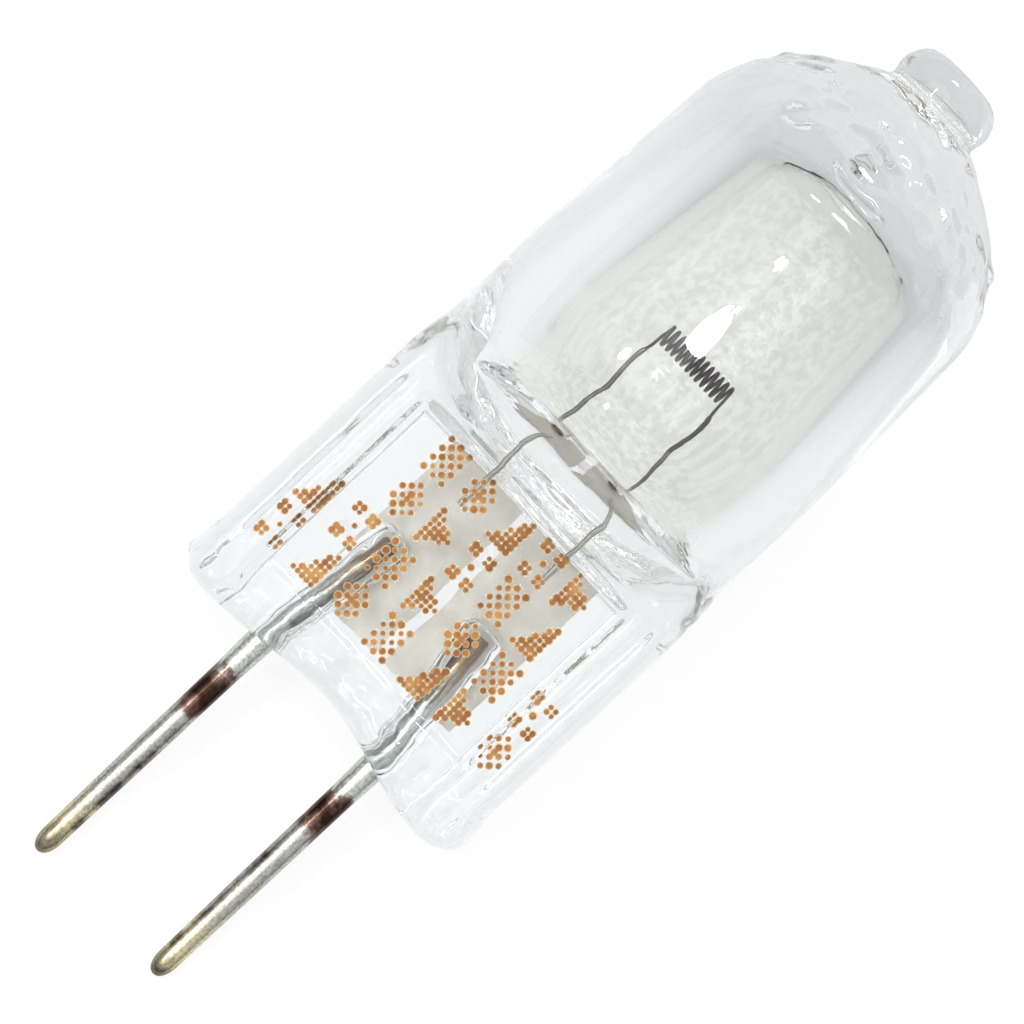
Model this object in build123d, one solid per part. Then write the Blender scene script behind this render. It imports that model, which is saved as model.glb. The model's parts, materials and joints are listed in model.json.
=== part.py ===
"""A clear quartz capsule bulb with a two-pin base.

Every piece is drawn standing, with the lamp axis on Z, the pinch flat in the XZ plane and its printed
face towards -Y. Height 0 is where the pins leave the glass. The bulb is then laid down as it comes to
rest on a table: on its pin tips and the lower edge of its tube, the printed face up, the tip towards +X.
"""

import os
from math import asin, atan2, degrees, hypot, pi, tan

from build123d import *

# Contact pins
pin_spacing = 4.0
pin_diameter = 0.65
pin_root_diameter = 0.72
pin_root_length = 1.35
pin_length = 7.5
pin_depth = 3.65
pin_inner_spacing = 3.05
pin_bend_reach = 0.3
pin_point_length = 0.9
pin_point_diameter = 0.4
pin_point_radius = 0.16

# Pockets that the hot glass leaves round the pins
pocket_mouth_clearance = 0.08
pocket_end_clearance = 0.23
pocket_end_gap = 0.3
pocket_end_flat = 0.2

# Molybdenum foils, thinned towards their long edges
foil_width = 2.3
foil_length = 5.1
foil_thickness = 0.04
foil_edge_thickness = 0.015
foil_feather = 0.4
foil_spacing = 2.6
foil_cover = 1.55
weld_clearance = 0.005
seal_offset = 0.2

# Lead wires
lead_diameter = 0.15
lead_spacing = 2.65
lead_weld_length = 1.2
lead_rise = 0.5
lead_bend_radius = 0.8
lead_clearance = 0.01

# Filament
filament_height = 11.8
coil_length = 2.2
coil_diameter = 0.54
coil_wire_diameter = 0.11
coil_full_turns = 12
tail_length = 1.1
tail_weld_length = 0.5

# Pinch
press_width = 9.5
bead_thickness = 3.3
bead_radius = 0.6
web_thickness = 2.6
imprint_width = 7.0
imprint_bottom = 1.1
imprint_top = 6.55
imprint_corner_radius = 0.5
imprint_floor_radius = 0.18
imprint_lip_radius = 0.15
corner_width = 1.2
corner_height = 1.1
left_lobe_drop = 0.35
right_lobe_drop = 0.65
lip_radius = 0.45
shoulder_bottom = 6.9
shoulder_top = 9.8
shoulder_radius = 1.0

# Tube, dome and exhaust tip
neck_bottom = 7.5
neck_top = 8.4
neck_radius = 1.0
tube_diameter = 9.26
taper_start = 11.4
taper_radius = 12.0
crown_diameter = 8.76
crown_radius = 3.0
dome_height = 2.75
brow_diameter = 6.6
brow_height = 1.65
brow_radius = 3.8
tip_diameter = 2.8
tip_waist_diameter = 2.6
tip_end_diameter = 2.45
tip_length = 1.25
tip_side_radius = 0.9
tip_end_radius = 0.5
tip_offset = -0.24
tip_top = 21.0

# Bore
bore_floor = 8.15
bore_floor_depth = 1.25
bore_floor_diameter = 6.5
bore_waist = 9.8
bore_diameter = 6.1
bore_crown_diameter = 5.5
bore_roof = 17.0
bore_waist_radius = 2.0
bore_roof_radius = 1.2
bore_offset = 0.15
exhaust_mouth_diameter = 1.0
exhaust_end_diameter = 0.3
exhaust_height = 1.1

# Worked out from the sizes above
pin_radius = pin_diameter / 2
pin_root_radius = pin_root_diameter / 2
lead_radius = lead_diameter / 2
coil_wire_radius = coil_wire_diameter / 2
press_radius = press_width / 2
tube_radius = tube_diameter / 2
foil_front = pin_root_radius + weld_clearance
foil_top = bore_floor - foil_cover
coil_radius = coil_diameter / 2 - coil_wire_radius
coil_run = coil_length - coil_wire_diameter
coil_pitch = coil_run / (coil_full_turns + 0.5)
beyond = press_width + tip_top

LEFT, RIGHT = -1, 1
FRONT, BACK = -1, 1


def turned(points, radii):
    """The solid of revolution about Z between the axis and a rounded run of (radius, height) points."""
    start, end = points[0], points[-1]
    outline = FilletPolyline(*points, radius=radii) + Polyline(end, (0, start[1]), start)
    return revolve(Plane.XZ * make_face(outline), Axis.Z)


def tube_wire(path, radius):
    """A round wire along a path."""
    return sweep(Plane(path @ 0, z_dir=path % 0) * Circle(radius), path=path)


def rounded(result, radius, *solids):
    """Rounds the edges where the solids that made up a result meet."""
    return fillet(new_edges(*solids, combined=result), radius)


def exhaust_stub(root, end):
    """The melted stub of the exhaust tube: a waist, a bulge and a rounded end."""
    points = [
        (tip_waist_diameter / 2, root - tip_length),
        (tip_waist_diameter / 2, root),
        (tip_diameter / 2, (root + end) / 2),
        (tip_end_diameter / 2, end),
        (0, end),
    ]
    return Pos(tip_offset, 0, 0) * turned(points, [0, tip_side_radius, tip_end_radius])


def blown_tube():
    """The tube, its neck above the pinch, the dome and the stub on it, solid."""
    tip_root = tip_top - tip_length
    crown = tip_root - dome_height
    brow = crown + brow_height
    slope = (tip_root - brow) / (brow_diameter - tip_waist_diameter)
    points = [
        (press_radius, -beyond),
        (press_radius, neck_bottom),
        (tube_radius, neck_top),
        (tube_radius, taper_start),
        (crown_diameter / 2, crown),
        (brow_diameter / 2, brow),
        (0, brow + slope * brow_diameter),
    ]
    tube = turned(points, [neck_radius, neck_radius, taper_radius, crown_radius, brow_radius])
    return tube + exhaust_stub(tip_root, tip_top)


def pressed_sides():
    """What the two jaws leave of the tube, seen from the side: flat below, sloping out above."""
    half = bead_thickness / 2
    reach = max(press_radius, tube_radius) + shoulder_radius
    right = FilletPolyline(
        (half, -beyond),
        (half, shoulder_bottom),
        (tube_radius, shoulder_top),
        (reach, shoulder_top + reach - tube_radius),
        (reach, beyond),
        radius=[shoulder_radius, 0, 0],
    )
    left = mirror(right, Plane.YZ)
    ends = Line(right @ 0, left @ 0) + Line(right @ 1, left @ 1)
    return extrude(Plane.YZ * make_face(right + left + ends), beyond, both=True)


def lower_lip():
    """The outline of the pinch's lower end: a wavy edge between two lobes, rounded front and back."""
    left, right = -press_radius - corner_width / 8, press_radius + corner_width / 8
    left_corner = Bezier(
        (left, corner_height - left_lobe_drop),
        (left, -left_lobe_drop),
        (left + corner_width, -left_lobe_drop),
    )
    right_corner = Bezier(
        (right - corner_width, -right_lobe_drop),
        (right, -right_lobe_drop),
        (right, corner_height - right_lobe_drop),
    )
    edge = Spline(left_corner @ 1, (0, 0), right_corner @ 0, tangents=[(1, 0), (1, 0)])
    rest = Polyline(right_corner @ 1, (right, shoulder_bottom), (left, shoulder_bottom), left_corner @ 0)
    outline = Plane.XZ * make_face(left_corner + edge + right_corner + rest)
    plate = extrude(outline, bead_thickness / 2, both=True)
    ends = plate.faces().filter_by(Axis.Y).edges()
    plate = fillet(ends - ends.filter_by(Axis.X), lip_radius)
    above = extrude(Plane.XY.offset(shoulder_bottom) * Rectangle(beyond, beyond), beyond)
    return plate + above


def jaw_imprint(face):
    """The shallow bed that one jaw presses into a face of the pinch."""
    height = imprint_top - imprint_bottom
    bed = RectangleRounded(imprint_width, height, imprint_corner_radius)
    bed = Pos(0, imprint_bottom + height / 2) * bed
    tool = extrude(Plane.XZ.offset(web_thickness / 2) * bed, bead_thickness)
    tool = fillet(tool.faces().sort_by(Axis.Y)[-1].edges(), imprint_floor_radius)
    return tool if face == FRONT else mirror(tool, Plane.XZ)


def bore():
    """The gas space: round above, wider at the foot, its floor rounded from front to back."""
    points = [
        (bore_floor_diameter / 2, bore_floor),
        (bore_diameter / 2, bore_waist),
        (bore_crown_diameter / 2, bore_roof),
        (0, bore_roof),
    ]
    space = Pos(bore_offset, 0, 0) * turned(points, [bore_waist_radius, bore_roof_radius])
    reach = 1.08 * bore_floor_diameter / 2
    floor = EllipticalCenterArc((0, bore_floor + bore_floor_depth), reach, bore_floor_depth, 180, arc_size=180)
    sides = Polyline(floor @ 1, (reach, beyond), (-reach, beyond), floor @ 0)
    space &= extrude(Plane.YZ * make_face(floor + sides), beyond, both=True)
    channel = [
        (exhaust_mouth_diameter / 2, bore_roof - bore_roof_radius),
        (exhaust_mouth_diameter / 2, bore_roof),
        (exhaust_end_diameter / 2, bore_roof + exhaust_height),
        (0, bore_roof + exhaust_height),
    ]
    return space + Pos(tip_offset, 0, 0) * turned(channel, [0, exhaust_end_diameter / 4])


def pin_bend(side):
    return Vector(side * pin_spacing / 2, 0, 0)


def pin_inner_end(side):
    return Vector(side * pin_inner_spacing / 2, 0, pin_depth)


def contact_pin(side):
    """A round pin, bent where it leaves the glass, thinning there to its shank, with a blunt point."""
    bend = pin_bend(side)
    along = (pin_inner_end(side) - bend).normalized()
    bend_end = bend + along * pin_bend_reach
    curve = Bezier((bend.X, 0, -pin_bend_reach), bend, bend_end)
    root = tube_wire(curve + Line(bend_end, pin_inner_end(side)), pin_root_radius)
    shank = turned(
        [
            (pin_root_radius, -pin_bend_reach),
            (pin_radius, -pin_root_length),
            (pin_radius, pin_point_length - pin_length),
            (pin_point_diameter / 2, -pin_length),
            (0, -pin_length),
        ],
        [0, 0, pin_point_radius],
    )
    return root + Pos(bend) * shank


def pin_pocket(side):
    """The bullet-shaped space round a pin, narrow where the pin leaves the glass."""
    bend = pin_bend(side)
    along = pin_inner_end(side) - bend
    end = along.length + pocket_end_gap
    end_radius = pin_root_radius + pocket_end_clearance
    points = [(pin_root_radius + pocket_mouth_clearance, -pin_root_length), (end_radius, end), (0, end)]
    space = turned(points, [end_radius - pocket_end_flat])
    return Plane(origin=bend, x_dir=(0, 1, 0), z_dir=along).location * space


def seal_foil(side):
    """A thin strip behind a pin, feathered along both edges."""
    half, flat = foil_width / 2, foil_width / 2 - foil_feather
    face, edge = foil_thickness / 2, foil_edge_thickness / 2
    section = Polyline(
        (-half, -edge),
        (-flat, -face),
        (flat, -face),
        (half, -edge),
        (half, edge),
        (flat, face),
        (-flat, face),
        (-half, edge),
        close=True,
    )
    strip = extrude(make_face(section), foil_length)
    return Pos(seal_offset + side * foil_spacing / 2, foil_front + face, foil_top - foil_length) * strip


def coil_end(side):
    """Where the coil's wire turns straight down, behind on the left and in front on the right."""
    return Vector(seal_offset + side * coil_run / 2, -side * coil_radius, filament_height)


def tail_direction(side):
    return Vector(side * coil_pitch / (2 * pi), 0, -coil_radius).normalized()


def lead_path(side, extra=0):
    """A lead's route: flat on its foil, up through the glass, then beside the filament's tail."""
    down = tail_direction(side)
    beside = Vector(0, side * (lead_radius + coil_wire_radius + weld_clearance), 0)
    top = coil_end(side) + down * (tail_length - tail_weld_length) + beside
    across, depth = seal_offset + side * lead_spacing / 2, foil_front - lead_radius - weld_clearance
    return FilletPolyline(
        (across, depth, foil_top - lead_weld_length - extra),
        (across, depth, foil_top + lead_rise),
        top + down * 2 * tail_weld_length,
        top,
        radius=lead_bend_radius,
    )


def lead_wire(side):
    return tube_wire(lead_path(side), lead_radius)


def lead_channel(side):
    return tube_wire(lead_path(side, lead_clearance), lead_radius + lead_clearance)


def filament():
    """A single coil across the bulb, with a straight tail down from each end."""
    start = (seal_offset - coil_run / 2, 0, filament_height)
    axis = Plane(origin=start, x_dir=(0, 1, 0), z_dir=(1, 0, 0))
    coil = axis.location * Helix(coil_pitch, coil_run, coil_radius)
    ends = {side: coil_end(side) + tail_direction(side) * tail_length for side in (LEFT, RIGHT)}
    path = Wire([Line(ends[LEFT], coil_end(LEFT)), coil, Line(coil_end(RIGHT), ends[RIGHT])])
    return tube_wire(path, coil_wire_radius)


def quartz_envelope():
    tube, sides = blown_tube(), pressed_sides()
    glass = rounded(tube & sides, bead_radius, tube, sides)
    glass &= lower_lip()
    for face in (FRONT, BACK):
        bed = jaw_imprint(face)
        glass = rounded(glass - bed, imprint_lip_radius, glass, bed)
    glass -= bore()
    for side in (LEFT, RIGHT):
        glass -= pin_pocket(side)
        glass -= seal_foil(side)
        glass -= lead_channel(side)
    return glass


def rest_tilt():
    """The angle between the lamp axis and the table, from the two rounded edges that touch it."""
    slope = atan2(tube_radius - bead_thickness / 2, shoulder_top - shoulder_bottom)
    edge_height = shoulder_top + bead_radius * tan(slope / 2)
    along = edge_height + pin_length - pin_point_radius
    drop = tube_radius - bead_radius - (pin_point_diameter / 2 - pin_point_radius)
    return degrees(atan2(drop, along) + asin((bead_radius - pin_point_radius) / hypot(along, drop)))


def lay_down(piece):
    """Turns a standing piece onto its back, leaning on the pins."""
    back = Plane(origin=(0, 0, 0), x_dir=(0, -1, 0), z_dir=(1, 0, 0))
    return Rot(0, -rest_tilt(), 0) * back.location * piece


pieces = {
    "quartz_envelope": quartz_envelope(),
    "contact_pin_left": contact_pin(LEFT),
    "contact_pin_right": contact_pin(RIGHT),
    "seal_foil_left": seal_foil(LEFT),
    "seal_foil_right": seal_foil(RIGHT),
    "lead_wire_left": lead_wire(LEFT),
    "lead_wire_right": lead_wire(RIGHT),
    "filament": filament(),
}
laid = {name: lay_down(piece) for name, piece in pieces.items()}
box = Compound(list(laid.values())).bounding_box()
on_table = Pos(-box.center().X, 0, -box.min.Z)

os.makedirs("parts", exist_ok=True)
for name, piece in laid.items():
    export_step(on_table * piece, f"parts/{name}.step")
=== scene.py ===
"""A clear quartz capsule bulb with a two-pin base, lying on a white table."""
import json
from math import atan2, cos, hypot, pi, radians, sin, tan

import bmesh
import bpy
import numpy as np
from mathutils import Matrix, Vector, noise


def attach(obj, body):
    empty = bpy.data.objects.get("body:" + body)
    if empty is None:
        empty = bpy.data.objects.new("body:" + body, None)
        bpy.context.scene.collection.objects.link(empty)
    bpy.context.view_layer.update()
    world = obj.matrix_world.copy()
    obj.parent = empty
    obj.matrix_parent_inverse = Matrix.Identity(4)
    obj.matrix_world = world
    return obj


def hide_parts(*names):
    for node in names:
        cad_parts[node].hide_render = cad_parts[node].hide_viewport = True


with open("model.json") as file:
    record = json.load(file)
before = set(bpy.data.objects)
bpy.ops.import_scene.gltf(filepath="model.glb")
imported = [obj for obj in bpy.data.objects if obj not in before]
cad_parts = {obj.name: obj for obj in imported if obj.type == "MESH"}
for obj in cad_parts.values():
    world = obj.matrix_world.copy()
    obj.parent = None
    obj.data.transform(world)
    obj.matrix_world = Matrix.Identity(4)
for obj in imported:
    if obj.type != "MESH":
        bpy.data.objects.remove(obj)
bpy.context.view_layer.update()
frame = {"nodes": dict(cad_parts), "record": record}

# The two contact pins are drawn molybdenum wire with a blunt, rounded end. Each leans inwards where
# it enters the glass and is welded to the front of a sealing foil. They are grey, with a dark brown
# band below the glass and a straw tint at the tips.
MM = 0.001
pin_spacing = 4.0
pin_radius = 0.325
pin_root_radius = 0.36
pin_length = 7.5
pin_depth = 3.65
pin_inner_spacing = 3.05
pin_lean_in = pin_spacing - pin_inner_spacing
shank_start = 1.4
# Widths along a pin are shares of its radius, at heights above its exit from the glass.
nose_length = 0.5
nose_width = 0.88
nose_fullness = 0.9
nose_end_width = 0.02
root_width = pin_root_radius / pin_radius
weld_width = 0.9
taper = [(-7.0, nose_width), (-4.5, 0.95), (-1.35, 1.0), (-0.3, root_width)]
base = next(mount for mount in frame["record"]["mounts"] if mount["name"] == "base_pins")
lamp_up = -Vector(base["axis"]).normalized()
lamp_across = Vector((0, -1, 0))
lamp_back = lamp_up.cross(lamp_across)
lean = atan2(lamp_up.z, lamp_up.x)
seat = Vector(base["pos_m"]) + lamp_up * shank_start * MM


def laid(points):
    """Lamp points (across, back, height above the pins' exit, in mm) as the bulb lies, in metres."""
    turn = np.array([lamp_across, lamp_back, lamp_up])
    return np.array(seat) + np.asarray(points, float) @ turn * MM


def node(tree, kind, inputs={}, **settings):
    """Adds a node: settings are its properties, inputs are values or sockets for its own sockets."""
    new = tree.nodes.new(kind)
    for name, value in settings.items():
        setattr(new, name, value)
    for name, value in inputs.items():
        if isinstance(value, bpy.types.NodeSocket):
            tree.links.new(value, new.inputs[name])
        else:
            new.inputs[name].default_value = value
    return new


def colour(code):
    """An sRGB hex colour in linear values."""
    parts = [int(code[i:i + 2], 16) / 255 for i in (1, 3, 5)]
    return (*[c / 12.92 if c <= 0.04045 else ((c + 0.055) / 1.055) ** 2.4 for c in parts], 1.0)


def stops(ramp, colours):
    """Sets a colour ramp's stops from a list of (position, hex colour)."""
    elements = ramp.color_ramp.elements
    while len(elements) < len(colours):
        elements.new(1.0)
    for element, (position, code) in zip(elements, colours):
        element.position = position
        element.color = colour(code)


def new_material(name):
    """A material, its node tree and its main shader."""
    material = bpy.data.materials.new(name)
    material.use_nodes = True
    return material, material.node_tree, material.node_tree.nodes["Principled BSDF"]


def bulb_place(tree):
    """Object coordinates turned with the bulb: X up its axis from the pins' exit, Z to its front."""
    place = node(tree, "ShaderNodeTexCoord").outputs["Object"]
    turned = node(tree, "ShaderNodeMapping", {
        "Vector": place, "Location": seat, "Rotation": (0, -lean, 0)}, vector_type="TEXTURE")
    return turned.outputs[0]


def new_tree(name, inputs, output):
    """A geometry tree with named inputs and one output, and the sockets that give its inputs."""
    tree = bpy.data.node_groups.new(name, "GeometryNodeTree")
    for label, kind in inputs:
        tree.interface.new_socket(label, in_out="INPUT", socket_type="NodeSocket" + kind)
    tree.interface.new_socket(output, in_out="OUTPUT", socket_type="NodeSocketGeometry")
    return tree, tree.nodes.new("NodeGroupInput").outputs


def end_tree(tree, shape, material):
    """Ends a geometry tree with plain geometry in one material."""
    real = node(tree, "GeometryNodeRealizeInstances", {"Geometry": shape})
    coated = node(tree, "GeometryNodeSetMaterial", {"Geometry": real.outputs[0], "Material": material})
    node(tree, "NodeGroupOutput", {0: coated.outputs[0]})


def drawn_wire_tree():
    """A round wire along a curve, whose point radii scale its thickness."""
    tree, given = new_tree("drawn_wire", [
        ("Path", "Geometry"), ("Wire radius", "Float"), ("Bend radius", "Float"), ("Sides", "Int"),
        ("Material", "Material")], "Wire")
    bent = node(tree, "GeometryNodeFilletCurve", {
        "Curve": given["Path"], "Radius": given["Bend radius"], "Count": 10, "Limit Radius": True},
        mode="POLY")
    ring = node(tree, "GeometryNodeCurvePrimitiveCircle", {
        "Resolution": given["Sides"], "Radius": given["Wire radius"]})
    swept = node(tree, "GeometryNodeCurveToMesh", {
        "Curve": bent.outputs["Curve"], "Profile Curve": ring.outputs["Curve"],
        "Scale": node(tree, "GeometryNodeInputRadius").outputs[0], "Fill Caps": True})
    smooth = node(tree, "GeometryNodeSetShadeSmooth", {"Geometry": swept.outputs[0]})
    end_tree(tree, smooth.outputs[0], given["Material"])
    return tree


def grown(name, start, tree, **values):
    """Runs a node tree on an object's data and gives back a plain mesh object in its place."""
    source = bpy.data.objects.new(name + "_source", start)
    bpy.context.scene.collection.objects.link(source)
    modifier = source.modifiers.new("grow", "NODES")
    modifier.node_group = tree
    for item in tree.interface.items_tree:
        if item.item_type == "SOCKET" and item.in_out == "INPUT" and item.name in values:
            modifier[item.identifier] = values[item.name]
    bpy.context.view_layer.update()
    evaluated = source.evaluated_get(bpy.context.evaluated_depsgraph_get())
    mesh = bpy.data.meshes.new_from_object(evaluated)
    source.modifiers.remove(modifier)
    bpy.data.objects.remove(source)
    mesh.name = name
    piece = bpy.data.objects.new(name, mesh)
    bpy.context.scene.collection.objects.link(piece)
    return piece


def path_curve(name, points, radii):
    """A curve through lamp points, with a radius factor at each."""
    curve = bpy.data.curves.new(name, "CURVE")
    curve.dimensions = "3D"
    spline = curve.splines.new("POLY")
    spline.points.add(len(points) - 1)
    for point, place, radius in zip(spline.points, laid(points), radii):
        point.co = (*place, 1.0)
        point.radius = radius
    return curve


# Drawn molybdenum: a grey metal with fine lines along the wire and tiny pits. Bands of colour run
# round it, a dark brown one below the glass, and its tip is straw-coloured. Painted shade darkens
# the flank that faces the other pin to brown, where the two pins shade each other.
pin_metal, tree, shader = new_material("drawn_molybdenum_pin")
place = bulb_place(tree)
xyz = node(tree, "ShaderNodeSeparateXYZ", {"Vector": place}).outputs
blotch = node(tree, "ShaderNodeTexNoise", {
    "Vector": place, "Scale": 1 / (0.5 * MM), "Detail": 4.0, "Roughness": 0.6})
along = node(tree, "ShaderNodeMapRange", {
    "Value": xyz["X"], "From Min": -pin_length * MM, "From Max": pin_depth * MM,
    "To Min": -0.07, "To Max": 0.93})
shifted = node(tree, "ShaderNodeMath", {
    0: blotch.outputs["Fac"], 1: 0.14, 2: along.outputs[0]}, operation="MULTIPLY_ADD")
bands = node(tree, "ShaderNodeValToRGB", {"Fac": shifted.outputs[0]})
stops(bands, [
    (0.0, "#7C735E"), (0.035, "#A39B80"), (0.08, "#DCD3AC"), (0.2, "#BDBCB2"), (0.42, "#BFC1BD"),
    (0.455, "#70564E"), (0.485, "#38251F"), (0.52, "#42302A"), (0.55, "#806A60"), (0.57, "#D0D4CE"),
    (0.8, "#DDE0DB"), (0.88, "#CBBDA8"), (0.93, "#A2825F"), (1.0, "#86674A")])
# Painted shade: the flank that faces the other pin is mixed towards dark brown, in patches, at the
# heights that the shank ramp lets through.
inside = node(tree, "ShaderNodeMath", {0: xyz["X"], 1: 0.0}, operation="MAXIMUM")
from_middle = node(tree, "ShaderNodeMath", {0: xyz["Y"]}, operation="ABSOLUTE")
flank = node(tree, "ShaderNodeMath", {
    0: inside.outputs[0], 1: pin_lean_in / 2 / pin_depth, 2: from_middle.outputs[0]},
    operation="MULTIPLY_ADD")
inner_side = node(tree, "ShaderNodeMapRange", {
    "Value": flank.outputs[0], "From Min": (pin_spacing / 2 - 0.18) * MM,
    "From Max": (pin_spacing / 2 - 0.08) * MM, "To Min": 1.0, "To Max": 0.0})
shank = node(tree, "ShaderNodeValToRGB", {"Fac": shifted.outputs[0]})
stops(shank, [
    (0.05, "#000000"), (0.1, "#FFFFFF"), (0.37, "#FFFFFF"), (0.43, "#000000"), (0.68, "#000000"),
    (0.76, "#FFFFFF")])
streak = node(tree, "ShaderNodeMath", {
    0: inner_side.outputs[0], 1: shank.outputs["Color"]}, operation="MULTIPLY")
patchy = node(tree, "ShaderNodeMapRange", {
    "Value": blotch.outputs["Fac"], "From Min": 0.35, "From Max": 0.6, "To Min": 0.1, "To Max": 0.9})
painted_flank_shade = node(tree, "ShaderNodeMath", {
    0: streak.outputs[0], 1: patchy.outputs[0]}, operation="MULTIPLY")
bands_and_flank_shade = node(tree, "ShaderNodeMix", {
    0: painted_flank_shade.outputs[0], "A": bands.outputs["Color"], "B": colour("#3C241B")}, data_type="RGBA")
pits = node(tree, "ShaderNodeTexNoise", {"Vector": place, "Scale": 1 / (0.08 * MM), "Detail": 2.0})
pitting = node(tree, "ShaderNodeMapRange", {
    "Value": pits.outputs["Fac"], "From Min": 0.3, "From Max": 0.6, "To Min": 0.6, "To Max": 1.0})
pitted = node(tree, "ShaderNodeMix", {
    0: 1.0, "A": bands_and_flank_shade.outputs["Result"], "B": pitting.outputs[0]},
    data_type="RGBA", blend_type="MULTIPLY")
lengthways = node(tree, "ShaderNodeMapping", {"Vector": place, "Scale": (0.03, 1.0, 1.0)})
lines = node(tree, "ShaderNodeTexNoise", {
    "Vector": lengthways.outputs[0], "Scale": 1 / (0.05 * MM), "Detail": 3.0})
dull = node(tree, "ShaderNodeMapRange", {"Value": lines.outputs["Fac"], "To Min": 0.16, "To Max": 0.34})
relief = node(tree, "ShaderNodeBump", {
    "Height": lines.outputs["Fac"], "Strength": 0.25, "Distance": 0.01 * MM})
tree.links.new(pitted.outputs["Result"], shader.inputs["Base Color"])
tree.links.new(dull.outputs[0], shader.inputs["Roughness"])
tree.links.new(relief.outputs[0], shader.inputs["Normal"])
shader.inputs["Metallic"].default_value = 1.0

drawn_wire = drawn_wire_tree()
for name, side in (("contact_pin_left", -1), ("contact_pin_right", 1)):
    swell = np.linspace(0, pi / 2, 14)
    heights = list(-pin_length + nose_length * (1 - np.cos(swell)))
    radii = list(np.maximum(nose_width * np.sin(swell) ** nose_fullness, nose_end_width))
    heights += list(np.linspace(heights[-1] + 0.1, taper[-1][0], 44))
    radii += list(np.interp(heights[len(radii):], *zip(*taper)))
    points = [(side * pin_spacing / 2, 0, h) for h in heights]
    inward = np.linspace(0.1, 1.0, 24)
    points += [(side * (pin_spacing - pin_lean_in * t) / 2, 0, pin_depth * t) for t in inward]
    radii += [root_width] * (len(inward) - 1) + [weld_width]
    pin = grown(name + "_drawn", path_curve(name, points, radii), drawn_wire, **{
        "Wire radius": pin_radius * MM, "Bend radius": 0.0, "Sides": 48, "Material": pin_metal})
    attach(pin, "root")
    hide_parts(name)

# The sealing foils are strips of molybdenum a few hundredths of a millimetre thick. The glass is
# pressed straight onto them, which makes the gas-tight seal.

# Etched molybdenum: a soft grey metal with a faint cross-grain from rolling.
foil_metal, tree, shader = new_material("etched_molybdenum_foil")
place = node(tree, "ShaderNodeTexCoord").outputs["Object"]
cloud = node(tree, "ShaderNodeTexNoise", {
    "Vector": place, "Scale": 1 / (0.9 * MM), "Detail": 5.0, "Roughness": 0.6})
grey = node(tree, "ShaderNodeValToRGB", {"Fac": cloud.outputs["Fac"]})
stops(grey, [(0.3, "#D2CDC2"), (0.5, "#DEDAD0"), (0.7, "#EAE7DF")])
crosswise = node(tree, "ShaderNodeMapping", {"Vector": place, "Scale": (1.0, 0.06, 1.0)})
grain = node(tree, "ShaderNodeTexNoise", {
    "Vector": crosswise.outputs[0], "Scale": 1 / (0.08 * MM), "Detail": 2.0})
relief = node(tree, "ShaderNodeBump", {
    "Height": grain.outputs["Fac"], "Strength": 0.3, "Distance": 0.01 * MM})
tree.links.new(grey.outputs["Color"], shader.inputs["Base Color"])
tree.links.new(relief.outputs[0], shader.inputs["Normal"])
shader.inputs["Metallic"].default_value = 1.0
shader.inputs["Roughness"].default_value = 0.5
for name in ("seal_foil_left", "seal_foil_right"):
    for slot in frame["nodes"][name].material_slots:
        slot.material = foil_metal

# The lead wires are thin molybdenum wires welded to the front of the foils. They run up through the
# glass into the bore, where their tops are welded to the filament's tails.
lead_radius = 0.065
lead_spacing = 2.65
lead_bend = 0.8
lead_bottom = 5.4
lead_straight_top = 7.4
lead_halfway = 8.9
weld_gap = 0.005
foil_front = pin_root_radius + weld_gap
seal_offset = 0.2
filament_height = 11.8
coil_radius = 0.215
coil_run = 2.09
coil_turns = 12.5
coil_wire_radius = 0.042
tail_length = 1.1
tail_weld = 0.5

# Drawn molybdenum: dull and dark grey in the bore, and pale where it runs in the glass.
lead_metal, tree, shader = new_material("drawn_molybdenum_lead")
place = node(tree, "ShaderNodeTexCoord").outputs["Object"]
cloud = node(tree, "ShaderNodeTexNoise", {"Vector": place, "Scale": 1 / (0.6 * MM), "Detail": 4.0})
grey = node(tree, "ShaderNodeValToRGB", {"Fac": cloud.outputs["Fac"]})
stops(grey, [(0.3, "#6B6563"), (0.55, "#807A78"), (0.75, "#96918D")])
in_glass = node(tree, "ShaderNodeMapRange", {
    "Value": node(tree, "ShaderNodeSeparateXYZ", {"Vector": bulb_place(tree)}).outputs["X"],
    "From Min": 8.0 * MM, "From Max": 8.7 * MM, "To Min": 1.0, "To Max": 0.0})
bright = node(tree, "ShaderNodeMix", {
    0: in_glass.outputs[0], "A": grey.outputs["Color"], "B": colour("#C6C2BD")}, data_type="RGBA")
tree.links.new(bright.outputs["Result"], shader.inputs["Base Color"])
shader.inputs["Metallic"].default_value = 1.0
shader.inputs["Roughness"].default_value = 0.4


def coil_end(side):
    """Where the coil's wire turns straight down, behind on the left and in front on the right."""
    return Vector((seal_offset + side * coil_run / 2, -side * coil_radius, filament_height))


def tail_direction(side):
    """The way that a tail leaves the coil, which is the slope of the coil's own wire."""
    return Vector((side * coil_run / coil_turns / (2 * pi), 0, -coil_radius)).normalized()


for name, side in (("lead_wire_left", -1), ("lead_wire_right", 1)):
    down = tail_direction(side)
    top = coil_end(side) + down * (tail_length - tail_weld)
    top += Vector((0, side * (lead_radius + coil_wire_radius + weld_gap), 0))
    behind = foil_front - weld_gap - lead_radius
    across = seal_offset + side * lead_spacing / 2
    points = [(across, behind, lead_bottom), (across, behind, lead_straight_top)]
    points += [(across, behind / 2, lead_halfway), tuple(top + down * 2 * tail_weld), tuple(top)]
    lead = grown(name + "_drawn", path_curve(name, points, [1.0] * len(points)), drawn_wire, **{
        "Wire radius": lead_radius * MM, "Bend radius": lead_bend * MM, "Sides": 24,
        "Material": lead_metal})
    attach(lead, "root")
    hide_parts(name)

# The filament is one tungsten wire wound into a coil across the bulb, with a straight tail down
# from each end, welded to a lead wire.

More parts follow.
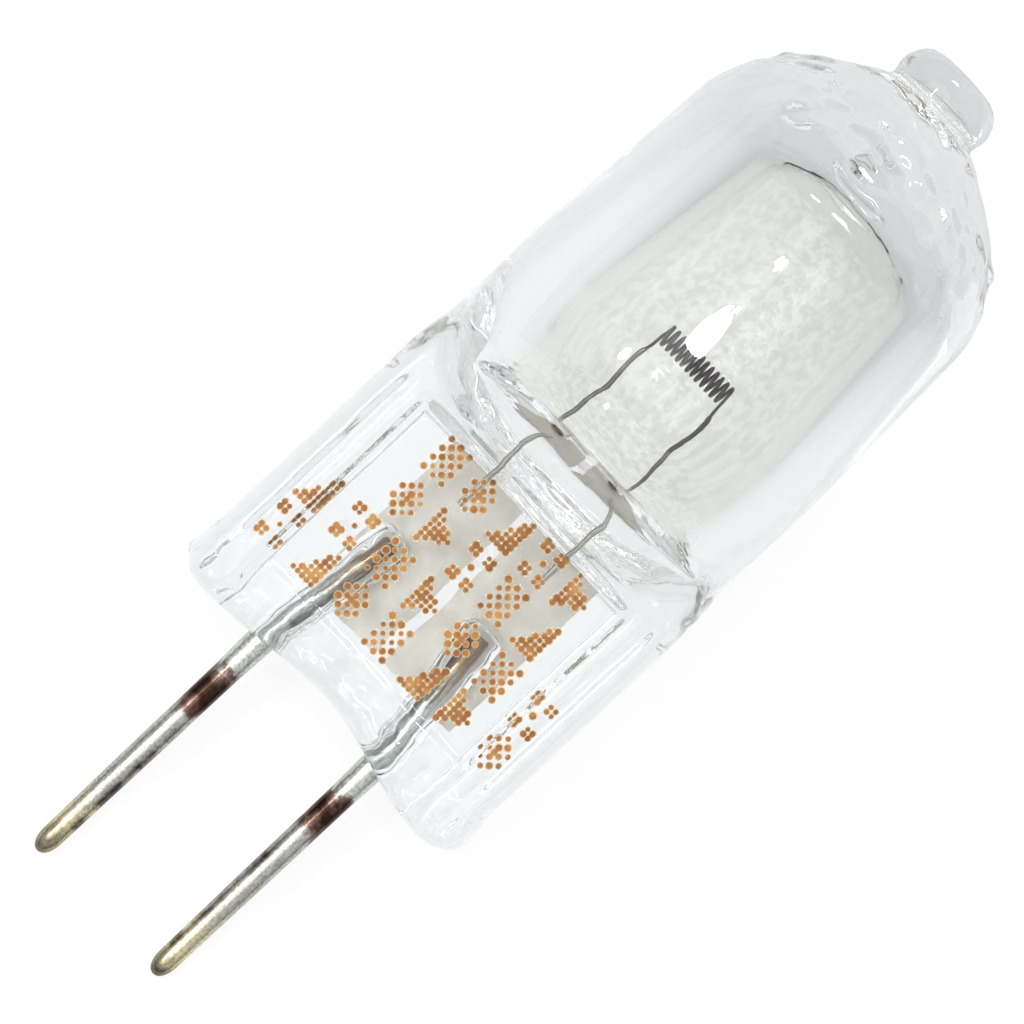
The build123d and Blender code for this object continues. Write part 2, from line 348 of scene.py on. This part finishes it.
# Glowed tungsten: heat has left the wire dark and dull, in slightly uneven greys.
tungsten, tree, shader = new_material("glowed_tungsten_wire")
place = node(tree, "ShaderNodeTexCoord").outputs["Object"]
cloud = node(tree, "ShaderNodeTexNoise", {"Vector": place, "Scale": 1 / (0.25 * MM), "Detail": 4.0})
grey = node(tree, "ShaderNodeValToRGB", {"Fac": cloud.outputs["Fac"]})
stops(grey, [(0.3, "#3E3739"), (0.55, "#4F474A"), (0.75, "#675F60")])
tree.links.new(grey.outputs["Color"], shader.inputs["Base Color"])
shader.inputs["Metallic"].default_value = 1.0
shader.inputs["Roughness"].default_value = 0.45


def coil_tree():
    """A coil between two straight tails, wound along a spiral and swept as one wire."""
    tree, given = new_tree("wound_coil", [
        ("Start", "Geometry"), ("Coil radius", "Float"), ("Coil length", "Float"), ("Turns", "Float"),
        ("Wire radius", "Float"), ("Centre", "Vector"), ("Turn", "Vector"), ("Left end", "Vector"),
        ("Left tail", "Vector"), ("Right end", "Vector"), ("Right tail", "Vector"),
        ("Material", "Material")], "Wire")
    spiral = node(tree, "GeometryNodeCurveSpiral", {
        "Resolution": 32, "Rotations": given["Turns"], "Start Radius": given["Coil radius"],
        "End Radius": given["Coil radius"], "Height": given["Coil length"], "Reverse": True})
    turned = node(tree, "GeometryNodeTransform", {
        "Geometry": spiral.outputs[0], "Translation": given["Centre"], "Rotation": given["Turn"]})
    left = node(tree, "GeometryNodeCurvePrimitiveLine", {
        "Start": given["Left tail"], "End": given["Left end"]})
    right = node(tree, "GeometryNodeCurvePrimitiveLine", {
        "Start": given["Right end"], "End": given["Right tail"]})
    joined = node(tree, "GeometryNodeJoinGeometry")
    for part in (turned, left, right):
        tree.links.new(part.outputs[0], joined.inputs[0])
    ring = node(tree, "GeometryNodeCurvePrimitiveCircle", {
        "Resolution": 14, "Radius": given["Wire radius"]})
    swept = node(tree, "GeometryNodeCurveToMesh", {
        "Curve": joined.outputs[0], "Profile Curve": ring.outputs["Curve"], "Fill Caps": True})
    smooth = node(tree, "GeometryNodeSetShadeSmooth", {"Geometry": swept.outputs[0]})
    end_tree(tree, smooth.outputs[0], given["Material"])
    return tree


ends = {}
for word, side in (("Left", -1), ("Right", 1)):
    end = coil_end(side)
    tail = end + tail_direction(side) * tail_length
    ends[word + " end"] = laid([end])[0].tolist()
    ends[word + " tail"] = laid([tail])[0].tolist()
centre = laid([(seal_offset - coil_run / 2, 0, filament_height)])[0].tolist()
across_bulb = Matrix((lamp_back, lamp_up, lamp_across)).transposed().to_euler()
filament = grown("filament_wound", bpy.data.meshes.new("filament_start"), coil_tree(), **{
    "Coil radius": coil_radius * MM, "Coil length": coil_run * MM, "Turns": coil_turns,
    "Wire radius": coil_wire_radius * MM, "Centre": centre, "Turn": list(across_bulb),
    "Material": tungsten, **ends})
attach(filament, "root")
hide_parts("filament")

# The envelope is one piece of blown fused quartz. Its lower end was pressed flat by two jaws while
# hot, over foils and pins, and the stub of the exhaust tube was melted shut at the top. The glass
# round the pins shrank away from them and left a narrow pocket, and hot working left it wavy.
press_radius = 4.75
bead_half = 1.65
web_half = 1.3
bed_half_width = 3.5
bed_bottom = 1.07
bed_top = 6.55
bed_edge = (-0.12, 0.2)
fold_at = 4.05
fold_width = 0.12
fold_depth = 0.09
lip_radius = 0.45
lobe_left = 0.35
lobe_right = 0.65
lobe_reach = 3.7
corner_rise = 1.1
corner_reach = 1.2
shoulder_bottom = 6.9
shoulder_top = 9.8
tube_radius = 4.63
tip_top = 21.0
tip_offset = -0.24
tube_run = [
    (press_radius, 1.2), (press_radius, 7.5), (tube_radius, 8.4), (tube_radius, 11.4), (4.38, 17.0),
    (3.3, 18.65), (1.62, 19.7), (1.3, 19.85), (1.42, 20.35), (1.15, tip_top), (0.0, tip_top)]
tube_rounding = [1.0, 1.0, 12.0, 3.0, 3.8, 0.4, 0.15, 0.6, 0.6]
bore_radius = 3.3
bore_floor = 8.1
bore_top = 17.2
bore_run = [
    (bore_radius, bore_floor), (3.15, 11.0), (2.5, 17.0), (0.3, 17.05), (0.1, bore_top),
    (0.0, bore_top)]
bore_rounding = [2.0, 1.3, 0.1, 0.04]
bore_offset = 0.22
floor_depth = 2.0
floor_seam = 0.006
floor_sag = 0.2
pocket_mouth = 0.39
pocket_throat = 0.43
pocket_end = 0.58
pocket_swell = 0.09
cavity_radius = 0.82
cavity_half = 0.2
cavity_height = 20.15


def rounded_run(points, radii, step):
    """A run of (radius, height) points with its corners rounded, sampled evenly."""
    run = [points[0]]
    for before, corner, after, radius in zip(points, points[1:], points[2:], radii):
        corner = np.array(corner)
        back, ahead = np.array(before) - corner, np.array(after) - corner
        back, ahead = back / hypot(*back), ahead / hypot(*ahead)
        half = np.arccos(np.clip(back @ ahead, -1, 1)) / 2
        reach = radius / tan(half)
        centre = corner + (back + ahead) / hypot(*(back + ahead)) * hypot(radius, reach)
        first, last = corner + back * reach - centre, corner + ahead * reach - centre
        for t in np.linspace(0, 1, 24):
            arm = first * (1 - t) + last * t
            run.append(tuple(centre + arm / hypot(*arm) * radius))
    run = np.array(run + [points[-1]])
    lengths = np.concatenate([[0], np.cumsum(np.hypot(*np.diff(run, axis=0).T))])
    even = np.linspace(0, lengths[-1], int(lengths[-1] / step) + 1)
    return np.interp(even, lengths, run[:, 0]), np.interp(even, lengths, run[:, 1])


def smooth_least(a, b, width):
    """The lesser of two values, with the change from one to the other rounded over a width."""
    h = np.clip(0.5 + 0.5 * (b - a) / width, 0, 1)
    return b + (a - b) * h - width * h * (1 - h)


def rise(value, low, high):
    """A smooth step from 0 to 1."""
    t = np.clip((value - low) / (high - low), 0, 1)
    return t * t * (3 - 2 * t)


def bottom_edge(across):
    """The pinch's lower edge: lobes under both sides, the right one lower, and rounded corners."""
    drop = np.where(across < 0, lobe_left, lobe_right) * rise(np.abs(across), 0.0, lobe_reach)
    inset = np.clip((press_radius + 0.15 - np.abs(across)) / corner_reach, 0, 1)
    return corner_rise * (1 - np.sqrt(inset)) ** 2 - drop


def pinched_skin(columns, step):
    """The outer surface as rows of lamp points, from the seam under the pinch to the tip."""
    angle = np.linspace(0, 2 * pi, columns, endpoint=False)
    radius, height = rounded_run(tube_run, tube_rounding, step)
    radius, height = radius[:, None], height[:, None]
    across = radius * np.cos(angle)
    side = np.sign(np.round(np.sin(angle), 9))
    opened = (height - shoulder_bottom) / (shoulder_top - shoulder_bottom)
    opened = smooth_least(-smooth_least(0 * opened, -opened, 0.2), 1 + 0 * opened, 0.3)
    circle = radius * np.abs(np.sin(angle))
    pressed = smooth_least(circle, bead_half + 0 * circle, 0.5)
    depth = np.maximum(pressed + opened * (circle - pressed), 0)
    bed = rise(bed_half_width - np.abs(across), *bed_edge) * rise(height - bed_bottom, *bed_edge)
    bed = bed * rise(bed_top - height, *bed_edge)
    depth = depth - (bead_half - web_half) * bed * rise(depth, web_half - 0.4, bead_half - 0.1)
    fold = np.exp(-((np.abs(across) - fold_at) / fold_width) ** 2)
    fold = fold * rise(height, 0.95, 1.5) * rise(shoulder_bottom - height, 0.0, 0.6)
    depth = np.maximum(depth - fold_depth * fold, 0)
    body = np.stack([across, depth * side, height + 0 * across], axis=-1)
    edge = bottom_edge(across[0])
    lip = np.minimum(lip_radius, depth[0])
    lower = [((depth[0] - lip) * t, edge) for t in np.linspace(0, 1, 8)]
    for a in np.linspace(0, pi / 2, 8)[1:]:
        lower.append((depth[0] - lip * (1 - np.sin(a)), edge + lip * (1 - np.cos(a))))
    for t in np.linspace(0, 1, 14)[1:-1]:
        lower.append((depth[0], (edge + lip) * (1 - t) + height[0] * t))
    lower = [np.stack([across[0], d * side, h], axis=-1) for d, h in lower]
    return np.concatenate([np.array(lower), body])


def bore_skin(columns, step):
    """The bore's surface, from the seam in its rounded floor to the end of the exhaust channel."""
    angle = np.linspace(0, 2 * pi, columns, endpoint=False)
    side = np.sign(np.round(np.sin(angle), 9))
    radius, height = rounded_run(bore_run, bore_rounding, step)
    radius, height = radius[:, None], height[:, None]
    across = radius * np.cos(angle)
    above = np.clip((height - bore_floor) / floor_depth, 0, 1)
    closing = np.sqrt(1 - (1 - above) ** 2) + floor_seam
    depth = radius * np.abs(np.sin(angle)) * np.minimum(closing, 1)
    sag = floor_sag * (across / bore_radius) ** 2 * (1 - rise(height, bore_floor, bore_floor + 1.5))
    body = np.stack([across, depth * side, height + sag], axis=-1)
    seam = np.stack([across[0], 0 * angle, height[0] + sag[0]], axis=-1)
    skin = np.concatenate([seam[None], body])
    skin[..., 0] += bore_offset + (tip_offset - bore_offset) * rise(skin[..., 2], 16.9, bore_top)
    return skin


def ripple(points, size, seed):
    """Smooth noise of a given size in millimetres at each point."""
    shift = Vector((seed * 7.3, seed * 3.1, seed * 1.7))
    return np.array([noise.noise(Vector(p) / size + shift) for p in points])


def pocket_skin(side, columns):
    """The surface of the space round a pin's inner end, closed on the pin where it leaves the glass."""
    bend = np.array([side * pin_spacing / 2, 0, 0])
    along = np.array([side * pin_inner_spacing / 2, 0, pin_depth]) - bend
    length = hypot(*along)
    along = along / length
    start = float(bottom_edge(np.array([bend[0]]))[0]) + 0.06
    end = length + 0.3
    run = [
        (0.0, start), (pocket_mouth, start), (pocket_throat, start + 0.4), (pocket_end, end), (0.0, end)]
    radius, height = rounded_run(run, [0.03, 0.5, 0.42], 0.07)
    radius, height = radius[:, None], height[:, None]
    angle = np.linspace(0, 2 * pi, columns, endpoint=False)
    sideways = np.array([along[2], 0, -along[0]])
    ring = np.cos(angle)[:, None] * sideways + np.sin(angle)[:, None] * np.array([0, 1, 0])
    skin = bend + height[..., None] * along + radius[..., None] * ring
    swell = ripple(skin.reshape(-1, 3), 0.7, 6 + side).reshape(skin.shape[:2])
    swell = pocket_swell * swell * np.clip((height - start) / 0.8, 0, 1) * np.minimum(radius / 0.4, 1)
    return skin + np.abs(swell)[..., None] * ring


def cavity_skin(columns):
    """The surface of the flat void that the melted exhaust tube left in the tip."""
    angle = np.linspace(0, 2 * pi, columns, endpoint=False)
    climb = np.linspace(-pi / 2, pi / 2, 17)[:, None]
    radius = cavity_radius * np.cos(climb) * (1 + 0.06 * np.cos(2 * angle + 0.6))
    height = cavity_height + cavity_half * np.sin(climb) + 0.04 * radius * np.cos(angle)
    return np.stack([tip_offset + radius * np.cos(angle), radius * np.sin(angle), height], axis=-1)


def skin_faces(rows, columns, start, inside_out):
    """Quads between neighbouring rows of a closed skin, facing out of the glass."""
    i, j = np.meshgrid(np.arange(rows - 1), np.arange(columns), indexing="ij")
    k = (j + 1) % columns
    low, high = i * columns, (i + 1) * columns
    quads = np.stack([low + j, low + k, high + k, high + j], axis=-1).reshape(-1, 4) + start
    return quads[:, ::-1] if inside_out else quads


def waviness(points):
    """How far hot working moved the outer glass: most in the pinch's edge, the dome and the tip."""
    height = points[:, 2]
    pinch_waves = 0.026 * (1 - rise(height, 8.2, 9.6))
    edge_lumps = 0.11 * (1 - rise(height, 0.2, 1.6))
    dome_waves = 0.13 * rise(height, 16.4, 18.0) * (1 - 0.5 * rise(height, 19.4, 20.0))
    moved = (pinch_waves + edge_lumps) * (ripple(points, 0.9, 1) + 0.7 * ripple(points, 0.4, 2))
    moved += dome_waves * (1.2 * ripple(points, 1.3, 1) + 0.4 * ripple(points, 0.5, 2))
    dome_crease = np.exp(-((height - 18.3) / 0.28) ** 2) * (0.3 * ripple(points, 0.7, 5) - 0.06)
    return moved + dome_crease + 0.003 * ripple(points, 1.2, 4) + 0.03 * ripple(points, 4.0, 3)


outer = pinched_skin(240, 0.1)
outer[..., 0] += tip_offset * rise(outer[..., 2], 18.4, 19.9)
still = outer.reshape(-1, 3).copy()
hub = still * np.array([1.0, 1.0, 0.0])
away = hub / np.maximum(np.linalg.norm(hub, axis=1), 0.05)[:, None]
off_seam = np.minimum(np.abs(still[:, 1]) * 4 + 0.4, 1)
outer += (away * (waviness(still) * off_seam)[:, None]).reshape(outer.shape)
skins = [(outer, False, 0), (bore_skin(160, 0.1), True, 1)]
skins += [(pocket_skin(side, 40), True, 0) for side in (-1, 1)]
skins += [(cavity_skin(48), True, 0)]
points, quads, finish = [], [], []
for skin, inside_out, slot in skins:
    rows, columns = skin.shape[:2]
    faces = skin_faces(rows, columns, sum(len(p) for p in points), inside_out)
    points.append(skin.reshape(-1, 3))
    quads.append(faces)
    finish += [slot] * len(faces)
mesh = bpy.data.meshes.new("quartz_envelope_blown")
mesh.from_pydata(laid(np.concatenate(points)).tolist(), [], np.concatenate(quads).tolist())
mesh.polygons.foreach_set("material_index", finish)
edit = bmesh.new()
edit.from_mesh(mesh)
bmesh.ops.remove_doubles(edit, verts=edit.verts, dist=0.0005 * MM)
edit.to_mesh(mesh)
edit.free()
mesh.shade_smooth()

# Fused quartz, fire polished: clear, with faint striae drawn out along the tube. A faint cool
# grey in its colour is painted shade that dims the glass.
quartz_ior = 1.458
quartz, tree, shader = new_material("fused_quartz_clear")
drawn = node(tree, "ShaderNodeMapping", {"Vector": bulb_place(tree), "Scale": (0.25, 1.0, 1.0)})
striae = node(tree, "ShaderNodeTexNoise", {
    "Vector": drawn.outputs[0], "Scale": 1 / (0.35 * MM), "Detail": 3.0})
relief = node(tree, "ShaderNodeBump", {
    "Height": striae.outputs["Fac"], "Strength": 0.5, "Distance": 0.004 * MM})
tree.links.new(relief.outputs[0], shader.inputs["Normal"])
# Painted shade: the faint cool grey below dims the clear glass.
shader.inputs["Base Color"].default_value = colour("#F2F5F6")
shader.inputs["Transmission Weight"].default_value = 1.0
shader.inputs["IOR"].default_value = quartz_ior
shader.inputs["Roughness"].default_value = 0.0

# Fused quartz in the bore: a faint warm tint, and fine ripples on the wall behind the filament,
# which break the light into small bright and dim specks. Its colour there also follows the ripples'
# noise, as painted bright and dim specks.
bore_quartz, tree, shader = new_material("fused_quartz_bore_tinted")
place = bulb_place(tree)
front = node(tree, "ShaderNodeSeparateXYZ", {"Vector": place}).outputs["Z"]
behind_coil = node(tree, "ShaderNodeMapRange", {
    "Value": front, "From Min": 0.0, "From Max": -2.6 * MM, "To Min": 0.02, "To Max": 1.0})
grain = node(tree, "ShaderNodeTexNoise", {"Vector": place, "Scale": 1 / (0.28 * MM), "Detail": 2.0})
relief = node(tree, "ShaderNodeBump", {
    "Height": grain.outputs["Fac"], "Strength": behind_coil.outputs[0], "Distance": 0.06 * MM})
# Painted highlights and shade: behind the filament the colour follows the ripples' noise in bright and
# dim specks.
painted_specks = node(tree, "ShaderNodeValToRGB", {"Fac": grain.outputs["Fac"]})
stops(painted_specks, [(0.4, "#E4E4DC"), (0.5, "#F1F1EA"), (0.6, "#FFFFFB")])
tint_and_painted_specks = node(tree, "ShaderNodeMix", {
    0: behind_coil.outputs[0], "A": colour("#F5F5EF"), "B": painted_specks.outputs["Color"]}, data_type="RGBA")
tree.links.new(tint_and_painted_specks.outputs["Result"], shader.inputs["Base Color"])
tree.links.new(relief.outputs[0], shader.inputs["Normal"])
shader.inputs["Transmission Weight"].default_value = 1.0
shader.inputs["IOR"].default_value = quartz_ior
shader.inputs["Roughness"].default_value = 0.0
mesh.materials.append(quartz)
mesh.materials.append(bore_quartz)
envelope = bpy.data.objects.new("quartz_envelope_blown", mesh)
bpy.context.scene.collection.objects.link(envelope)
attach(envelope, "root")
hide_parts("quartz_envelope")

# The marks on the front of the pinch are fired brown ink, jetted in lines of small dots. Each motif
# is a grid of five by seven dots, which spread a little and left a pale rim on the glass.
dot_pitch = 0.15
rim_radius = 0.105
core_radius = 0.078
rim_film = 0.004
core_film = 0.009
ink_thickness = 0.004
jet_distance = 4.0
motifs = {
    "diamond": ("..#..", ".#.#.", "#.#.#", ".###.", "#.#.#", ".#.#.", "..#.."),
    "steps": ("....#", "...##", "...##", "..###", "..###", ".####", "#####"),
    "blocks": ("##.##", "##.##", ".....", "..#..", ".....", "##.##", "##.##"),
    "lattice": ("#.#.#", ".#.#.", "#.#.#", ".#.#.", "#.#.#", ".#.#.", "#.#.#"),
    "arrow": ("#....", "##...", "####.", "#####", "####.", "##...", "#...."),
}
# A line of motifs is its height, its first motif's place across, the motifs' pitch and their names.
ink_lines = [
    (5.86, -2.05, 1.1, ("lattice", "diamond", "steps", "blocks", "arrow")),
    (4.58, -2.05, 1.1, ("diamond", "arrow", "blocks", "lattice", "steps")),
    (3.26, -3.65, 1.22, ("steps", "blocks", "lattice", "arrow", "diamond", "lattice", "blocks")),
    (2.02, -3.65, 1.22, ("blocks", "steps", "diamond", "lattice", "steps", "arrow", "diamond")),
]


def ink_tree():
    """Flat dots on a surface, where points sent along a direction meet it."""
    tree, given = new_tree("jetted_dots", [
        ("Points", "Geometry"), ("Surface", "Object"), ("Direction", "Vector"), ("Dot radius", "Float"),
        ("Film", "Float"), ("Thickness", "Float"), ("Seed", "Int"), ("Material", "Material")], "Dots")
    glass = node(tree, "GeometryNodeObjectInfo", {"Object": given["Surface"]})
    hit = node(tree, "GeometryNodeRaycast", {
        "Target Geometry": glass.outputs["Geometry"], "Ray Direction": given["Direction"],
        "Ray Length": 1.0})
    raised = node(tree, "ShaderNodeVectorMath", {
        0: hit.outputs["Hit Normal"], 1: given["Film"], 2: hit.outputs["Hit Position"]},
        operation="MULTIPLY_ADD")
    laid_on = node(tree, "GeometryNodeSetPosition", {
        "Geometry": given["Points"], "Position": raised.outputs[0]})
    dot = node(tree, "GeometryNodeMeshCylinder", {
        "Vertices": 10, "Radius": given["Dot radius"], "Depth": given["Thickness"]}, fill_type="NGON")
    flat = node(tree, "FunctionNodeAlignRotationToVector", {
        "Vector": hit.outputs["Hit Normal"]}, axis="Z")
    spread = node(tree, "FunctionNodeRandomValue", {
        2: 0.7, 3: 1.15, "Seed": given["Seed"]}, data_type="FLOAT")
    placed = node(tree, "GeometryNodeInstanceOnPoints", {
        "Points": laid_on.outputs[0], "Instance": dot.outputs["Mesh"], "Rotation": flat.outputs[0],
        "Scale": spread.outputs[1]})
    end_tree(tree, placed.outputs[0], given["Material"])
    return tree


# Fired ink: an opaque matt brown where it is thick, and a pale cream rim where it is thin.
ink_brown, tree, shader = new_material("fired_ink_brown")
place = node(tree, "ShaderNodeTexCoord").outputs["Object"]
cloud = node(tree, "ShaderNodeTexNoise", {"Vector": place, "Scale": 1 / (0.4 * MM), "Detail": 3.0})
tan_brown = node(tree, "ShaderNodeValToRGB", {"Fac": cloud.outputs["Fac"]})
stops(tan_brown, [(0.3, "#7C4C22"), (0.5, "#94602F"), (0.7, "#B3834A")])
tree.links.new(tan_brown.outputs["Color"], shader.inputs["Base Color"])
shader.inputs["Roughness"].default_value = 0.7
ink_rim, tree, shader = new_material("fired_ink_rim")
shader.inputs["Base Color"].default_value = colour("#E2C48C")
shader.inputs["Roughness"].default_value = 0.7
shader.inputs["Alpha"].default_value = 0.4

dots = []
for height, first, pitch, names in ink_lines:
    for place, name in enumerate(names):
        for row, line in enumerate(motifs[name]):
            for column, mark in enumerate(line):
                if mark == "#":
                    across = first + place * pitch + (column - 2) * dot_pitch
                    dots.append((across, -jet_distance, height + (3 - row) * dot_pitch))
jetted_dots = ink_tree()
for name, radius, film, finish in (
        ("ink_rim", rim_radius, rim_film, ink_rim), ("ink_core", core_radius, core_film, ink_brown)):
    start = bpy.data.meshes.new(name)
    start.from_pydata(laid(dots).tolist(), [], [])
    ink = grown(name + "_jetted", start, jetted_dots, **{
        "Surface": envelope, "Direction": list(lamp_back), "Dot radius": radius * MM,
        "Film": film * MM, "Thickness": ink_thickness * MM, "Seed": 5, "Material": finish})
    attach(ink, "root")

# The table is a plain white sheet under the bulb, in a lightbox. A soft bank and four small lamps
# hang above it, and its walls are grey, with a dark gap above the table that the glass edges mirror.
table_reach = 2.0
table_drop = 0.02 * MM
corners = [(-1, -1), (1, -1), (1, 1), (-1, 1)]
floor_mesh = bpy.data.meshes.new("white_table")
floor_mesh.from_pydata(
    [(x * table_reach, y * table_reach, -table_drop) for x, y in corners], [], [(0, 1, 2, 3)])
table = bpy.data.objects.new("white_table", floor_mesh)
bpy.context.scene.collection.objects.link(table)

# White paper: matt, and white wherever it is seen. In glass and metal it shows painted shade, greying
# away from the bulb and ahead of its tip.
sheet, tree, shader = new_material("white_sheet")
tree.nodes.clear()
ray = node(tree, "ShaderNodeLightPath").outputs
seen = node(tree, "ShaderNodeMath", {
    0: ray["Is Camera Ray"], 1: ray["Is Glossy Ray"]}, operation="MAXIMUM")
seen = node(tree, "ShaderNodeMath", {
    0: seen.outputs[0], 1: ray["Is Transmission Ray"]}, operation="MAXIMUM")
half_seen = node(tree, "ShaderNodeMath", {0: seen.outputs[0], 1: 0.86}, operation="MULTIPLY")
paper = node(tree, "ShaderNodeBsdfDiffuse", {"Color": (0.92, 0.92, 0.92, 1.0)})
place = node(tree, "ShaderNodeTexCoord").outputs["Object"]
# Painted shade: for glass and metal the sheet's glow falls to 0.7 away from the bulb, and again to 0.72
# ahead of the tip, so to about half at the far end. The camera sees it plain white.
along_bulb = node(tree, "ShaderNodeMapping", {
    "Vector": place, "Location": (3.4 * MM, 0.0, 0.0), "Scale": (0.4, 0.6, 1.0)})
from_bulb = node(tree, "ShaderNodeVectorMath", {0: along_bulb.outputs[0]}, operation="LENGTH")
painted_falloff = node(tree, "ShaderNodeMapRange", {
    "Value": from_bulb.outputs["Value"],
    "From Min": 5 * MM, "From Max": 18 * MM, "To Min": 1.0, "To Max": 0.7})
ahead = node(tree, "ShaderNodeMapRange", {
    "Value": node(tree, "ShaderNodeSeparateXYZ", {"Vector": place}).outputs["X"],
    "From Min": 8 * MM, "From Max": 15 * MM, "To Min": 1.0, "To Max": 0.72})
painted_table_shade = node(tree, "ShaderNodeMath", {
    0: painted_falloff.outputs[0], 1: ahead.outputs[0]}, operation="MULTIPLY")
glow = node(tree, "ShaderNodeMix", {
    0: ray["Is Camera Ray"], "A": painted_table_shade.outputs[0], "B": 1.0}, data_type="FLOAT")
white = node(tree, "ShaderNodeEmission", {
    "Color": (1.0, 1.0, 1.0, 1.0), "Strength": glow.outputs[0]})
both = node(tree, "ShaderNodeMixShader", {
    0: half_seen.outputs[0], 1: paper.outputs[0], 2: white.outputs[0]})
node(tree, "ShaderNodeOutputMaterial", {"Surface": both.outputs[0]})
floor_mesh.materials.append(sheet)

# Each lamp is an oval that faces the bulb: its name, place, width across the bulb, height and power.
for name, place, width, tall, power in (
        ("bank_above", (-0.05, 0.06, 0.16), 0.18, 0.18, 0.09),
        ("lamp_left", laid([(-37, -133, 38)])[0], 0.02, 0.0016, 0.008),
        ("lamp_middle", laid([(0, -137, 31)])[0], 0.034, 0.0032, 0.022),
        ("lamp_pins", laid([(-60, -125, -10)])[0], 0.012, 0.045, 0.04),
        ("lamp_tip", laid([(-12, -75, 135)])[0], 0.04, 0.016, 0.05)):
    light = bpy.data.lights.new(name, "AREA")
    light.shape = "ELLIPSE"
    light.size = width
    light.size_y = tall
    light.energy = power
    lamp = bpy.data.objects.new(name, light)
    away = (Vector(place) - Vector((0, 0, 4 * MM))).normalized()
    wide = (lamp_across - away * lamp_across.dot(away)).normalized()
    lamp.matrix_world = Matrix((wide, away.cross(wide), away)).transposed().to_4x4()
    lamp.location = place
    bpy.context.scene.collection.objects.link(lamp)

world = bpy.data.worlds.new("lightbox_walls")
bpy.context.scene.world = world
world.use_nodes = True
tree = world.node_tree
tree.nodes.clear()
ray = node(tree, "ShaderNodeLightPath").outputs
towards = node(tree, "ShaderNodeTexCoord").outputs["Object"]
upwards = node(tree, "ShaderNodeSeparateXYZ", {"Vector": towards}).outputs["Z"]
greys = node(tree, "ShaderNodeValToRGB", {"Fac": upwards})
stops(greys, [(0.0, "#3A3A3A"), (0.07, "#444444"), (0.13, "#C4C4C4"), (0.7, "#F3F3F3")])
walls = node(tree, "ShaderNodeMix", {
    0: ray["Is Camera Ray"], "A": greys.outputs["Color"], "B": (1.0, 1.0, 1.0, 1.0)}, data_type="RGBA")
sky = node(tree, "ShaderNodeBackground", {"Color": walls.outputs["Result"], "Strength": 1.0})
node(tree, "ShaderNodeOutputWorld", {"Surface": sky.outputs[0]})

# The camera looks square at the printed face through a long lens, with the pins towards the lower
# left. Light may pass many glass skins on its way to it.
camera_distance = 0.14
light_bounces = 40
camera = bpy.data.cameras.new("camera")
camera.lens = 208.0
camera.sensor_width = 36.0
camera.clip_start = 0.001
eye = bpy.data.objects.new("camera", camera)
turn = radians(43.2)
right = lamp_up * cos(turn) + lamp_across * sin(turn)
up = lamp_up * sin(turn) - lamp_across * cos(turn)
aim = Vector(laid([(-0.14, 0, 6.17)])[0])
eye.matrix_world = Matrix((right, up, -lamp_back)).transposed().to_4x4()
eye.location = aim - lamp_back * camera_distance
bpy.context.scene.collection.objects.link(eye)
bpy.context.scene.camera = eye
bpy.context.scene.view_settings.view_transform = "Standard"
bpy.context.scene.cycles.max_bounces = light_bounces
bpy.context.scene.cycles.transmission_bounces = light_bounces
bpy.context.scene.cycles.glossy_bounces = light_bounces
